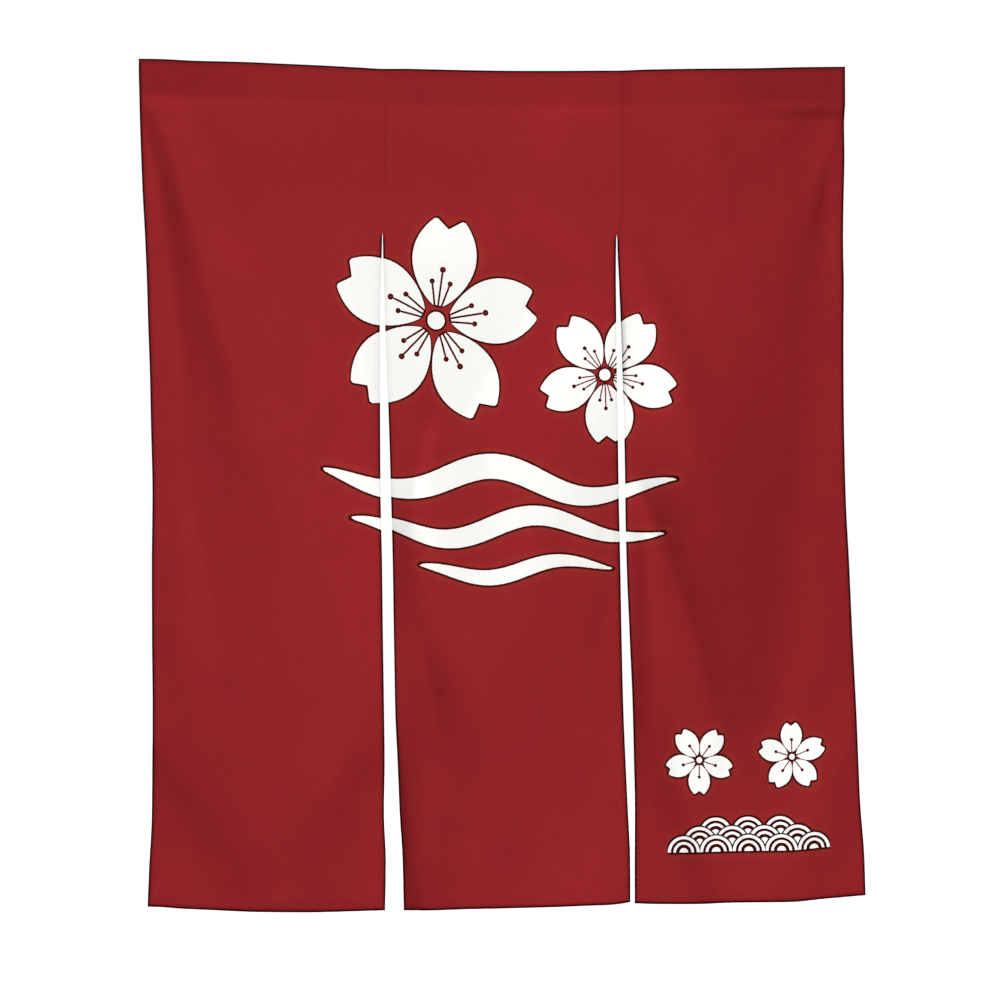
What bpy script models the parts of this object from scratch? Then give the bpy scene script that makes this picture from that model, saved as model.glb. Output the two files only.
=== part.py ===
"""Noren curtain: three widths of red cotton cloth, sewn edge to edge at the top and
open as two slits below. Each width is one folded sheet: its top is folded back and
sewn down as the sleeve that a rod goes through, and its lower end is folded up as a
hem. Units are metres, +Z is up, the front faces -Y, and the origin is the middle of
the top edge.
"""
import math

import bmesh
import bpy

# ---------------------------------------------------------------- named sizes
CLOTH = 0.0012          # thickness of the cloth
LAYER = 0.0016          # from the middle of one layer to the next, where it is folded flat
SLEEVE_DROP = 0.046     # top edge down to the row of stitches under the sleeve
FLAP_TAIL = 0.005       # turned-under cloth below that row
HEM_DEPTH = 0.014       # bottom hem, folded up behind
SLIT_TOP = -0.235       # the seams end and the slits begin
HEAD_FLAT = 0.035       # the head is held flat over this height
HEAD_EASE = 0.030       # and the folds grow over this height below it
SEAM_EASE = 0.050       # folds of one width die out this near to a sewn seam
SLIT_EASE = 0.120       # and are free again this far below the slit's top
COLUMNS = 14            # grid steps across a width
FRONT_STEPS = 26        # grid steps down the free front
EDGE_CROWD = 0.064      # the grid's columns lie closer together near the side edges

# Side edges of the three widths at each height.
EDGE_COLUMNS = ("z", "left_out", "left_in", "middle_left", "middle_right", "right_in", "right_out")
EDGES = (
    (0.020, -0.5015, -0.1586, -0.1583, 0.1755, 0.1758, 0.5014),
    (0.000, -0.5015, -0.1586, -0.1583, 0.1755, 0.1758, 0.5014),
    (-0.060, -0.5000, -0.1589, -0.1586, 0.1753, 0.1756, 0.5017),
    (-0.120, -0.4983, -0.1595, -0.1592, 0.1742, 0.1745, 0.5033),
    (-0.180, -0.4959, -0.1601, -0.1598, 0.1732, 0.1735, 0.5025),
    (-0.235, -0.4929, -0.1605, -0.1602, 0.1722, 0.1726, 0.5020),
    (-0.300, -0.4901, -0.1625, -0.1590, 0.1711, 0.1756, 0.5029),
    (-0.360, -0.4884, -0.1638, -0.1565, 0.1708, 0.1772, 0.5023),
    (-0.430, -0.4860, -0.1640, -0.1538, 0.1712, 0.1790, 0.5022),
    (-0.500, -0.4845, -0.1637, -0.1508, 0.1722, 0.1806, 0.5028),
    (-0.600, -0.4824, -0.1627, -0.1486, 0.1742, 0.1830, 0.5048),
    (-0.700, -0.4833, -0.1613, -0.1457, 0.1768, 0.1868, 0.5096),
    (-0.800, -0.4830, -0.1598, -0.1435, 0.1783, 0.1902, 0.5140),
    (-0.900, -0.4819, -0.1582, -0.1426, 0.1816, 0.1952, 0.5192),
    (-0.980, -0.4818, -0.1581, -0.1390, 0.1846, 0.1972, 0.5223),
    (-1.050, -0.4825, -0.1580, -0.1358, 0.1878, 0.1983, 0.5250),
    (-1.120, -0.4859, -0.1563, -0.1318, 0.1913, 0.1981, 0.5290),
    (-1.200, -0.4882, -0.1573, -0.1298, 0.1927, 0.1984, 0.5299),
)

# Top edge: it sags between its ends and steps a little at the two seams.
TOP_COLUMNS = ("x", "z")
TOP = (
    (-0.505, 0.0101), (-0.480, 0.0102), (-0.420, 0.0083), (-0.360, 0.0077), (-0.300, 0.0059),
    (-0.240, 0.0040), (-0.190, 0.0019), (-0.159, 0.0006), (-0.130, 0.0011), (-0.060, 0.0005),
    (0.000, 0.0002), (0.080, 0.0010), (0.150, 0.0023), (0.176, 0.0027), (0.210, 0.0045),
    (0.295, 0.0071), (0.365, 0.0086), (0.435, 0.0111), (0.505, 0.0128),
)

# Bottom edges of the three widths.
BOTTOM_COLUMNS = ("x", "z")
BOTTOM = {
    "left": ((-0.492, -1.1761), (-0.470, -1.1771), (-0.440, -1.1797), (-0.400, -1.1820),
             (-0.330, -1.1864), (-0.250, -1.1885), (-0.200, -1.1880), (-0.156, -1.1872)),
    "middle": ((-0.131, -1.1867), (-0.090, -1.1883), (-0.040, -1.1873), (0.020, -1.1865),
               (0.080, -1.1852), (0.140, -1.1828), (0.193, -1.1803)),
    "right": ((0.198, -1.1810), (0.235, -1.1825), (0.290, -1.1831), (0.350, -1.1822),
              (0.420, -1.1820), (0.465, -1.1786), (0.500, -1.1761), (0.532, -1.1739)),
}

# How far the foot of each width hangs back from the front plane, in y, at each height.
LEAN_COLUMNS = ("z", "y")
LEAN = {
    "left": ((0.0, 0.0), (-1.2, 0.0)),
    "middle": ((0.0, 0.0), (-0.50, 0.0), (-0.70, 0.0016), (-0.85, 0.0046), (-1.00, 0.0082),
               (-1.12, 0.0106), (-1.20, 0.0114)),
    "right": ((0.0, 0.0), (-0.80, 0.0), (-1.00, -0.0016), (-1.12, -0.0030), (-1.20, -0.0036)),
}

# Folds of the hanging cloth. Each runs from (x0, z0) down to (x1, z1), bowed sideways by
# bow, and reaches reach_l to its left and reach_r to its right, times grow at its lower
# end. rise is its height towards the front; a negative rise is a trough. round_ is large
# for a soft crest. ease_in and ease_out are the shares of its length over which it fades.
FOLD_COLUMNS = ("width", "name", "x0", "z0", "x1", "z1", "bow", "reach_l", "reach_r",
                "grow", "rise", "round_", "ease_in", "ease_out")
FOLDS = (
    ("left", "corner", -0.484, -0.018, -0.278, -0.812, 0.009, 0.034, 0.117, 3.5, -0.0064, 0.54, 0.12, 0.55),
    ("left", "side", -0.439, -0.474, -0.376, -0.948, 0.000, 0.039, 0.132, 0.8, 0.0010, 0.68, 0.43, 0.48),
    ("left", "foot_out", -0.536, -0.853, -0.356, -1.236, -0.030, 0.199, 0.082, 2.0, 0.0099, 0.38, 0.38, 0.0),
    ("left", "foot_in", -0.117, -0.894, -0.134, -1.235, -0.030, 0.054, 0.089, 3.5, -0.0060, 0.81, 0.34, 0.0),
    ("left", "slit_edge", -0.204, -0.283, -0.030, -1.235, 0.017, 0.185, 0.056, 1.4, 0.0092, 0.39, 0.52, 0.0),
    ("all", "head_left", -0.497, 0.007, -0.353, -0.253, 0.006, 0.128, 0.111, 1.0, 0.0084, 0.55, 0.48, 0.65),
    ("all", "head_middle", -0.196, -0.049, 0.104, -0.290, 0.009, 0.200, 0.072, 2.8, -0.0076, 1.00, 0.54, 0.50),
    ("all", "head_right", 0.112, -0.011, 0.189, -0.207, 0.003, 0.119, 0.071, 1.7, 0.0038, 0.77, 0.42, 0.55),
    ("middle", "slit_edge", -0.182, -0.518, -0.155, -1.235, 0.000, 0.057, 0.074, 1.0, 0.0099, 0.20, 0.25, 0.0),
    ("middle", "crease", -0.132, -0.722, -0.087, -1.081, 0.004, 0.060, 0.041, 2.8, 0.0098, 0.42, 0.53, 0.73),
    ("middle", "belly", 0.276, -0.211, -0.040, -1.235, -0.030, 0.200, 0.199, 2.4, 0.0095, 0.68, 0.22, 0.0),
    ("middle", "foot", 0.309, -0.703, 0.121, -1.443, 0.007, 0.171, 0.057, 1.4, 0.0143, 0.33, 0.80, 0.0),
    ("right", "slit_edge", 0.173, -0.561, 0.118, -1.235, 0.030, 0.028, 0.043, 1.4, 0.0062, 0.20, 0.26, 0.0),
    ("right", "crest", 0.163, -0.488, 0.335, -1.009, 0.004, 0.189, 0.088, 1.0, 0.0118, 0.20, 0.26, 0.75),
    ("right", "valley", 0.492, -0.002, 0.566, -1.217, 0.003, 0.092, 0.095, 1.8, -0.0105, 0.35, 0.12, 0.21),
    ("right", "shoulder", 0.200, -0.238, 0.355, -0.975, -0.001, 0.177, 0.098, 3.5, 0.0121, 0.20, 0.46, 0.54),
    ("right", "broad", 0.456, 0.001, 0.379, -1.169, 0.017, 0.162, 0.168, 0.8, -0.0080, 0.21, 0.21, 0.23),
    ("right", "side", 0.503, -0.823, 0.401, -1.112, 0.001, 0.067, 0.064, 0.8, -0.0016, 0.83, 0.26, 0.32),
    ("right", "foot", 0.244, -0.820, 0.353, -1.235, -0.021, 0.080, 0.184, 0.6, -0.0037, 0.92, 0.42, 0.0),
    ("right", "corner", 0.448, -0.035, 0.327, -0.355, 0.002, 0.147, 0.055, 1.6, -0.0041, 1.23, 0.23, 0.76),
)

# The sleeve in section, from the end of the flap behind, up over the top fold and down
# the front: how far below the top edge, and how far behind the front layer.
SLEEVE_COLUMNS = ("drop", "behind")
SLEEVE = (
    (SLEEVE_DROP + FLAP_TAIL, LAYER), (SLEEVE_DROP, LAYER), (0.0385, 0.0060), (0.0300, 0.0122),
    (0.0200, 0.0156), (0.0110, 0.0148), (0.0045, 0.0112), (0.0011, 0.0070), (0.0000, 0.0032),
    (0.0009, 0.0008), (0.0030, 0.0), (0.0110, 0.0), (0.0240, 0.0), (0.0385, 0.0),
    (SLEEVE_DROP, 0.0), (SLEEVE_DROP + FLAP_TAIL, 0.0), (0.0660, 0.0), (0.0880, 0.0), (0.1150, 0.0),
)

# The bottom hem in section, from the front round the lower fold and up behind: height
# above the bottom edge, and how far behind the front layer.
HEM_COLUMNS = ("height", "behind")
HEM = (
    (HEM_DEPTH, 0.0), (0.0060, 0.0), (0.0008, 0.0), (0.0002, 0.5 * LAYER * (1 - math.sqrt(0.5))),
    (0.0, 0.5 * LAYER), (0.0002, 0.5 * LAYER * (1 + math.sqrt(0.5))), (0.0008, LAYER),
    (0.0060, LAYER), (HEM_DEPTH, LAYER),
)

WIDTHS = (("left", "left_out", "left_in"), ("middle", "middle_left", "middle_right"),
          ("right", "right_in", "right_out"))


# ---------------------------------------------------------------- curves and surface
def ease(t):
    t = min(1.0, max(0.0, t))
    return t * t * (3.0 - 2.0 * t)


def smooth_table(points):
    """A smooth curve through (at, value) points that never overshoots them."""
    pts = sorted(points)
    n = len(pts)
    step = [(pts[i + 1][1] - pts[i][1]) / (pts[i + 1][0] - pts[i][0]) for i in range(n - 1)]
    slope = [step[0]] + [0.0] * (n - 2) + [step[-1]]
    for i in range(1, n - 1):
        if step[i - 1] * step[i] > 0.0:
            slope[i] = 2.0 * step[i - 1] * step[i] / (step[i - 1] + step[i])

    def value(at):
        if at <= pts[0][0]:
            return pts[0][1]
        if at >= pts[-1][0]:
            return pts[-1][1]
        i = max(k for k in range(n - 1) if pts[k][0] <= at)
        h = pts[i + 1][0] - pts[i][0]
        t = (at - pts[i][0]) / h
        a, b = pts[i][1], pts[i + 1][1]
        return (a * (1 + 2 * t) * (1 - t) ** 2 + b * t * t * (3 - 2 * t)
                + h * slope[i] * t * (1 - t) ** 2 - h * slope[i + 1] * t * t * (1 - t))

    return value


EDGE = {name: smooth_table([(row[0], row[k]) for row in EDGES])
        for k, name in enumerate(EDGE_COLUMNS) if k}
TOP_EDGE = smooth_table(TOP)
BOTTOM_EDGE = {name: smooth_table(rows) for name, rows in BOTTOM.items()}
LEAN_BACK = {name: smooth_table(rows) for name, rows in LEAN.items()}


def fold_rise(row, x, z):
    f = dict(zip(FOLD_COLUMNS, row))
    t = (f["z0"] - z) / (f["z0"] - f["z1"])
    along = min(1.0, max(0.0, t))
    middle = f["x0"] + (f["x1"] - f["x0"]) * along + f["bow"] * 4.0 * along * (1.0 - along)
    side = x - middle
    reach = (f["reach_l"] if side < 0.0 else f["reach_r"]) * (1.0 + (f["grow"] - 1.0) * along)
    out, r = abs(side) / reach, f["round_"]
    s = min(1.0, (math.sqrt(out * out + r * r) - r) / (math.sqrt(1.0 + r * r) - r))
    fade = ease(t / f["ease_in"])
    if f["ease_out"] > 0.0:
        fade *= ease((1.0 - t) / f["ease_out"])
    return f["rise"] * fade * (1.0 - s) ** 2


def front_y(width, x, z):
    """Where the middle of the front layer hangs, in y, at this place on a width."""
    head = ease((-z - HEAD_FLAT) / HEAD_EASE)
    free = ease((SLIT_TOP - z) / SLIT_EASE)
    near = min(ease(abs(x - EDGE["left_in"](z)) / SEAM_EASE),
               ease(abs(x - EDGE["right_in"](z)) / SEAM_EASE))
    own = free + (1.0 - free) * near
    rise = 0.0
    for row in FOLDS:
        if row[0] == "all":
            rise += fold_rise(row, x, z)
        elif row[0] == width:
            rise += fold_rise(row, x, z) * own
    return LEAN_BACK[width](z) - head * rise


def sheet_rows():
    """Rows of the folded sheet: (share of the height, drop below that, behind)."""
    rows = [(0.0, drop, behind) for drop, behind in SLEEVE]
    first = SLEEVE[-1][0] / 1.185
    last = 1.0 - 0.040 / 1.185
    for i in range(1, FRONT_STEPS + 1):
        rows.append((first + (last - first) * i / FRONT_STEPS, 0.0, 0.0))
    rows += [(1.0, -height, behind) for height, behind in HEM]
    return rows


def place(width, edges, u, row):
    share, drop, behind = row
    lo, hi = EDGE[edges[0]], EDGE[edges[1]]
    z = -1.185 * share - drop
    for _ in range(2):
        x = lo(z) + (hi(z) - lo(z)) * u
        top, bottom = TOP_EDGE(x), BOTTOM_EDGE[width](x)
        z = top + (bottom - top) * share - drop
    return x, front_y(width, x, z) + behind, z


# ---------------------------------------------------------------- scene
for old in list(bpy.data.objects):
    bpy.data.objects.remove(old, do_unlink=True)

curtain = bpy.data.collections.new("noren_curtain")
bpy.context.scene.collection.children.link(curtain)


def cloth_material(name):
    mat = bpy.data.materials.new(name)
    mat.use_nodes = True
    shader = mat.node_tree.nodes["Principled BSDF"]
    shader.inputs["Base Color"].default_value = (0.27, 0.017, 0.021, 1.0)
    shader.inputs["Roughness"].default_value = 0.9
    shader.inputs["Metallic"].default_value = 0.0
    return mat


def add_width(width, edge_lo, edge_hi):
    rows = sheet_rows()
    steps = len(rows) - 1
    bm = bmesh.new()
    bmesh.ops.create_grid(bm, x_segments=COLUMNS, y_segments=steps, size=0.5)
    for v in bm.verts:
        i = round((v.co.x + 0.5) * COLUMNS)
        j = round((0.5 - v.co.y) * steps)
        t = i / COLUMNS
        u = t - EDGE_CROWD * math.sin(2.0 * math.pi * t)
        v.co = place(width, (edge_lo, edge_hi), u, rows[j])
    bmesh.ops.recalc_face_normals(bm, faces=bm.faces)
    mesh = bpy.data.meshes.new("panel_" + width)
    bm.to_mesh(mesh)
    bm.free()
    obj = bpy.data.objects.new("panel_" + width, mesh)
    obj.data.materials.append(cloth_material("cloth_" + width))
    curtain.objects.link(obj)
    solid = obj.modifiers.new("cloth_thickness", "SOLIDIFY")
    solid.thickness = CLOTH
    solid.offset = 0.0
    solid.use_even_offset = True
    solid.use_quality_normals = True
    return obj


for width_name, lo_name, hi_name in WIDTHS:
    add_width(width_name, lo_name, hi_name)
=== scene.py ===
"""Looks of the noren curtain: three widths of red cotton, sewn edge to edge at the top and
open below as two slits. Each width is one thin folded sheet on its CAD solid's folds, with
its rod sleeve, hems, sewing and dyed pattern.
"""

import math

import bpy
import numpy as np
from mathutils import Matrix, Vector


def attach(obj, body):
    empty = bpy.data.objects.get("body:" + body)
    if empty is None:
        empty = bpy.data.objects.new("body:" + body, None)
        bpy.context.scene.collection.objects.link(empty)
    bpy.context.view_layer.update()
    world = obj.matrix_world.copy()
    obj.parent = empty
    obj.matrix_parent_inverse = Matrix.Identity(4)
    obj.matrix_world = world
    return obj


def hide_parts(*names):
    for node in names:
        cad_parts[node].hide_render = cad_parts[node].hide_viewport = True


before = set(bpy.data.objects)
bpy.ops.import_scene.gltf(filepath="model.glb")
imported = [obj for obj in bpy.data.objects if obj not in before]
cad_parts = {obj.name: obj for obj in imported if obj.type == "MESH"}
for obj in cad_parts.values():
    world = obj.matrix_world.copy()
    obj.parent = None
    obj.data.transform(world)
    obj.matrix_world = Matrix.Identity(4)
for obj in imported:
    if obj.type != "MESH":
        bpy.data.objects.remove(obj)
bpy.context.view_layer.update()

# ---------------------------------------------------------------- named sizes, in metres
CLOTH = 0.00075         # thickness of the cloth
LAYER = 0.0012          # from the middle of one layer to the next, where it is folded flat
SLEEVE_DROP = 0.046     # top edge down to the row of stitches under the sleeve
FLAP_END = 0.052        # top edge down to the end of the flap behind
HEM_DEPTH = 0.014       # bottom hem, folded up behind
HEM_STITCH = 0.0118     # its row of stitches, above the bottom edge
SIDE_STITCH = 0.0063    # their rows of stitches, in from the side edges
SEAM_STITCH = {"middle": 0.0024, "right": 0.0044}     # the seams' rows of stitches, in from a width's left edge
SEAM_CLEAR = 0.000015   # a width stops this far short of the middle of its seams, clear of its neighbour
SEAM_CALM = -0.190      # the seams' pull on the cloth has died out this far down
SLIT_TOP = -0.235       # the seams end and the slits begin
HEAD_FLAT = 0.035       # the head is held flat over this height
HEAD_EASE = 0.030       # and the folds grow over this height below it
SEAM_EASE = 0.050       # folds of one width die out this near to a sewn seam
SLIT_EASE = 0.120       # and are free again this far below the slit's top
DROP = 1.185            # height of the hanging front

# Side edges of the three widths at each height.
EDGE_COLUMNS = ("z", "left_out", "left_in", "middle_left", "middle_right", "right_in", "right_out")
EDGES = (
    (0.020, -0.5015, -0.1586, -0.1583, 0.1755, 0.1758, 0.5014),
    (0.000, -0.5015, -0.1586, -0.1583, 0.1755, 0.1758, 0.5014),
    (-0.060, -0.5000, -0.1589, -0.1586, 0.1753, 0.1756, 0.5017),
    (-0.120, -0.4983, -0.1595, -0.1592, 0.1742, 0.1745, 0.5033),
    (-0.180, -0.4959, -0.1601, -0.1598, 0.1732, 0.1735, 0.5025),
    (-0.235, -0.4929, -0.1608, -0.1599, 0.1716, 0.1731, 0.5020),
    (-0.257, -0.4919, -0.1614, -0.1596, 0.1712, 0.1736, 0.5022),
    (-0.300, -0.4901, -0.1630, -0.1584, 0.1708, 0.1757, 0.5029),
    (-0.360, -0.4884, -0.1642, -0.1567, 0.1708, 0.1781, 0.5023),
    (-0.430, -0.4860, -0.1640, -0.1541, 0.1712, 0.1801, 0.5022),
    (-0.500, -0.4845, -0.1638, -0.1514, 0.1724, 0.1816, 0.5028),
    (-0.600, -0.4824, -0.1633, -0.1485, 0.1740, 0.1817, 0.5048),
    (-0.700, -0.4833, -0.1612, -0.1460, 0.1764, 0.1842, 0.5096),
    (-0.800, -0.4830, -0.1600, -0.1446, 0.1785, 0.1892, 0.5140),
    (-0.900, -0.4819, -0.1584, -0.1429, 0.1811, 0.1943, 0.5192),
    (-0.980, -0.4818, -0.1574, -0.1390, 0.1843, 0.1964, 0.5223),
    (-1.050, -0.4825, -0.1582, -0.1361, 0.1876, 0.1978, 0.5254),
    (-1.120, -0.4864, -0.1556, -0.1318, 0.1907, 0.1976, 0.5299),
    (-1.200, -0.4896, -0.1570, -0.1303, 0.1909, 0.1977, 0.5312),
)

# Top edge: it sags between its ends and steps a little at the two seams.
TOP = (
    (-0.505, 0.0101), (-0.480, 0.0102), (-0.420, 0.0083), (-0.360, 0.0077), (-0.300, 0.0059),
    (-0.240, 0.0040), (-0.190, 0.0019), (-0.159, 0.0006), (-0.130, 0.0011), (-0.060, 0.0005),
    (0.000, 0.0002), (0.080, 0.0010), (0.150, 0.0023), (0.176, 0.0027), (0.210, 0.0045),
    (0.295, 0.0071), (0.365, 0.0086), (0.435, 0.0111), (0.505, 0.0128),
)

# Bottom edges of the three widths.
BOTTOM = {
    "left": ((-0.492, -1.1761), (-0.470, -1.1771), (-0.440, -1.1797), (-0.400, -1.1820),
             (-0.330, -1.1864), (-0.250, -1.1885), (-0.200, -1.1880), (-0.156, -1.1872)),
    "middle": ((-0.131, -1.1867), (-0.090, -1.1883), (-0.040, -1.1873), (0.020, -1.1865),
               (0.080, -1.1852), (0.140, -1.1829), (0.160, -1.1823), (0.178, -1.1806), (0.193, -1.1779)),
    "right": ((0.198, -1.1810), (0.235, -1.1825), (0.290, -1.1831), (0.350, -1.1822),
              (0.420, -1.1820), (0.465, -1.1786), (0.500, -1.1761), (0.532, -1.1739)),
}

# How far the foot of each width hangs back from the front plane, in y, at each height.
LEAN = {
    "left": ((0.0, 0.0), (-1.2, 0.0)),
    "middle": ((0.0, 0.0), (-0.50, 0.0), (-0.70, 0.0016), (-0.85, 0.0046), (-1.00, 0.0082),
               (-1.12, 0.0106), (-1.20, 0.0114)),
    "right": ((0.0, 0.0), (-0.80, 0.0), (-1.00, -0.0016), (-1.12, -0.0030), (-1.20, -0.0036)),
}

# Folds of the hanging cloth: each runs from (x0, z0) down to (x1, z1). The first table holds the
# CAD's folds, a little reshaped and with flanks of their own, the second the finer creases on them.
FOLD_COLUMNS = ("width", "name", "x0", "z0", "x1", "z1", "bow", "reach_l", "reach_r",
                "grow", "rise", "round_", "ease_in", "ease_out", "flank")
FOLDS = (
    ("left", "corner", -0.504, 0.013, -0.333, -0.814, 0.0393, 0.023, 0.109, 4.20, -0.0047, 1.16, 0.12, 0.37, 2.12),
    ("left", "side", -0.434, -0.558, -0.362, -0.923, 0.0009, 0.022, 0.063, 2.64, 0.0014, 0.76, 0.14, 0.33, 1.68),
    ("left", "foot_out", -0.498, -0.718, -0.374, -1.235, -0.0391, 0.234, 0.072, 2.10, 0.0075, 0.45, 0.72, 0.00, 2.01),
    ("left", "foot_in", -0.088, -0.815, -0.118, -1.235, -0.0163, 0.051, 0.089, 4.01, -0.0067, 1.54, 0.54, 0.00, 1.78),
    ("left", "slit_edge", -0.226, -0.184, -0.018, -1.235, -0.0105, 0.175, 0.103, 1.24, 0.0113, 0.10, 0.65, 0.00, 1.74),
    ("all", "head_left", -0.548, 0.026, -0.341, -0.242, 0.0232, 0.134, 0.144, 0.71, 0.0083, 0.40, 0.41, 0.59, 2.30),
    ("all", "head_middle", -0.219, -0.047, 0.077, -0.286, 0.0354, 0.187, 0.060, 2.88, -0.0069, 0.81, 0.56, 0.50, 1.62),
    ("all", "head_right", 0.109, -0.031, 0.164, -0.207, 0.0367, 0.120, 0.071, 2.06, 0.0038, 0.97, 0.22, 0.67, 2.60),
    ("middle", "slit_edge", -0.186, -0.532, -0.150, -1.235, 0.0164, 0.057, 0.082, 0.61, 0.0070, 0.85, 0.22, 0.00, 2.37),
    ("middle", "crease", -0.119, -0.744, -0.076, -1.027, 0.0029, 0.131, 0.036, 3.63, 0.0111, 0.12, 0.59, 0.74, 2.60),
    ("middle", "belly", 0.272, -0.162, -0.097, -1.235, -0.0064, 0.136, 0.239, 2.49, 0.0100, 0.45, 0.29, 0.00, 1.38),
    ("middle", "foot", 0.318, -0.571, 0.101, -1.473, 0.0334, 0.173, 0.057, 1.35, 0.0168, 0.77, 1.01, 0.00, 2.35),
    ("right", "slit_edge", 0.174, -0.523, 0.124, -1.235, 0.0349, 0.028, 0.018, 3.88, 0.0046, 0.69, 0.33, 0.00, 2.32),
    ("right", "crest", 0.155, -0.438, 0.329, -1.015, -0.0063, 0.160, 0.093, 1.10, 0.0140, 0.10, 0.33, 0.74, 1.52),
    ("right", "valley", 0.492, 0.042, 0.525, -1.255, 0.0156, 0.088, 0.061, 1.66, -0.0098, 0.15, 0.12, 0.20, 1.72),
    ("right", "shoulder", 0.224, -0.298, 0.422, -1.091, -0.0141, 0.227, 0.132, 4.20, 0.0172, 0.06, 0.42, 0.97, 2.56),
    ("right", "broad", 0.461, -0.022, 0.366, -1.228, 0.0200, 0.167, 0.183, 0.66, -0.0086, 0.19, 0.17, 0.26, 1.79),
    ("right", "side", 0.503, -0.836, 0.402, -1.100, -0.0015, 0.060, 0.055, 0.90, -0.0016, 0.24, 0.18, 0.25, 1.04),
    ("right", "foot", 0.280, -0.759, 0.364, -1.235, -0.0461, 0.094, 0.239, 0.51, -0.0032, 0.53, 0.46, 0.00, 1.67),
    ("right", "corner", 0.454, -0.036, 0.350, -0.280, 0.0157, 0.140, 0.040, 1.62, -0.0035, 1.83, 0.12, 0.62, 1.35),
)
CREASES = (
    ("left", "wedge_line", -0.454, -0.082, -0.400, -0.588, 0.0026, 0.033, 0.124, 0.94, -0.0020, 0.99, 0.25, 0.23, 1.82),
    ("left", "wedge_low", -0.463, -0.251, -0.332, -0.712, 0.0034, 0.049, 0.043, 1.04, 0.0020, 1.22, 0.38, 0.12, 1.61),
    ("left", "cheek", -0.445, -0.638, -0.429, -0.903, -0.0112, 0.044, 0.081, 0.61, -0.0009, 0.25, 0.19, 0.12, 1.51),
    ("left", "foot_near", -0.509, -0.922, -0.375, -1.141, -0.0380, 0.123, 0.041, 2.75, 0.0071, 0.64, 0.22, 0.68, 1.94),
    ("left", "foot_far", -0.144, -0.958, -0.343, -1.180, 0.0193, 0.046, 0.099, 4.20, -0.0013, 0.16, 0.12, 0.12, 2.16),
    ("middle", "slit_line", -0.159, -0.826, -0.127, -1.200, 0.0171, 0.025, 0.047, 0.50, -0.0020, 0.71, 0.19, 0.39, 2.00),
    ("middle", "lap", 0.056, -0.880, 0.144, -1.108, -0.0119, 0.030, 0.048, 4.07, 0.0017, 1.10, 0.35, 0.43, 1.29),
    ("right", "v_line", 0.190, -0.567, 0.319, -0.990, 0.0209, 0.024, 0.037, 1.00, 0.0016, 0.32, 0.14, 0.55, 1.87),
    ("right", "streak_high", 0.354, -0.164, 0.376, -0.365, -0.0258, 0.087, 0.047, 2.92, -0.0018, 0.11, 0.29, 0.49, 2.60),
    ("right", "streak_side", 0.483, -0.098, 0.478, -0.428, -0.0083, 0.019, 0.020, 3.04, -0.0012, 0.20, 0.20, 0.87, 2.57),
    ("right", "shoulder_line", 0.133, -0.180, 0.277, -0.527, 0.0342, 0.031, 0.027, 2.11, 0.0022, 0.32, 0.12, 0.24, 1.36),
    ("right", "foot_line", 0.228, -0.902, 0.260, -1.148, -0.0264, 0.027, 0.029, 2.35, 0.0015, 0.27, 0.42, 0.20, 1.39),
    ("left", "foot_broad", -0.451, -0.886, -0.176, -1.235, 0.0070, 0.060, 0.101, 1.84, 0.0014, 0.62, 0.18, 0.00, 2.21),
    ("left", "slope", -0.380, -0.625, -0.260, -1.030, -0.0086, 0.073, 0.035, 1.60, -0.0006, 0.82, 0.35, 0.12, 1.04),
    ("left", "slit_side", -0.241, -0.545, -0.158, -0.993, 0.0185, 0.044, 0.046, 1.99, -0.0006, 0.65, 0.12, 0.15, 1.17),
    ("middle", "near_slit", -0.067, -0.477, -0.079, -0.736, -0.0142, 0.025, 0.063, 1.41, 0.0029, 0.77, 0.21, 0.79, 1.17),
    ("middle", "low", -0.010, -0.831, -0.066, -1.235, 0.0019, 0.067, 0.059, 1.27, -0.0023, 0.32, 1.09, 0.00, 2.16),
    ("middle", "side", 0.133, -0.593, 0.101, -0.938, 0.0169, 0.032, 0.014, 1.86, 0.0004, 0.61, 0.22, 0.12, 1.38),
    ("right", "low_side", 0.387, -0.921, 0.398, -1.235, -0.0014, 0.051, 0.048, 1.91, 0.0019, 0.23, 0.12, 0.00, 1.15),
    ("right", "neck", 0.285, 0.053, 0.433, -0.472, -0.0243, 0.043, 0.049, 0.90, 0.0007, 0.48, 0.58, 0.31, 2.01),
    ("left", "head_corner", -0.472, -0.044, -0.411, -0.152, 0.0053, 0.062, 0.029, 1.44, -0.0011, 0.51, 0.32, 0.35, 1.61),
    ("right", "head_corner", 0.445, -0.065, 0.416, -0.136, 0.0034, 0.037, 0.042, 0.87, -0.0007, 0.30, 0.39, 0.57, 1.95),
    ("right", "head_near", 0.436, -0.033, 0.390, -0.185, -0.0067, 0.047, 0.031, 1.49, -0.0009, 0.88, 0.48, 0.44, 1.44),
    ("middle", "neck", 0.090, -0.029, 0.079, -0.204, 0.0083, 0.038, 0.038, 1.67, 0.0006, 0.25, 0.18, 0.19, 1.82),
    ("middle", "calm", 0.004, -0.613, -0.002, -0.819, -0.0069, 0.074, 0.065, 1.38, -0.0018, 0.62, 0.25, 0.39, 1.37),
    ("left", "mid", -0.276, -0.965, -0.362, -1.223, 0.0031, 0.034, 0.042, 1.62, 0.0004, 0.54, 0.32, 0.24, 1.60),
)

# The sleeve in section, from the end of the flap behind up over the top fold: how far
# below the top edge, and how far behind the front layer.
SLEEVE = (
    (0.0520, 0.0012), (0.0490, 0.0012), (0.0460, 0.0011), (0.0435, 0.0022), (0.0385, 0.0060),
    (0.0300, 0.0120), (0.0200, 0.0154), (0.0110, 0.0146), (0.0045, 0.0110), (0.0011, 0.0068),
    (0.0000, 0.0034), (0.0006, 0.0010), (0.0022, 0.0001), (0.0050, 0.0000),
)

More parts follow.
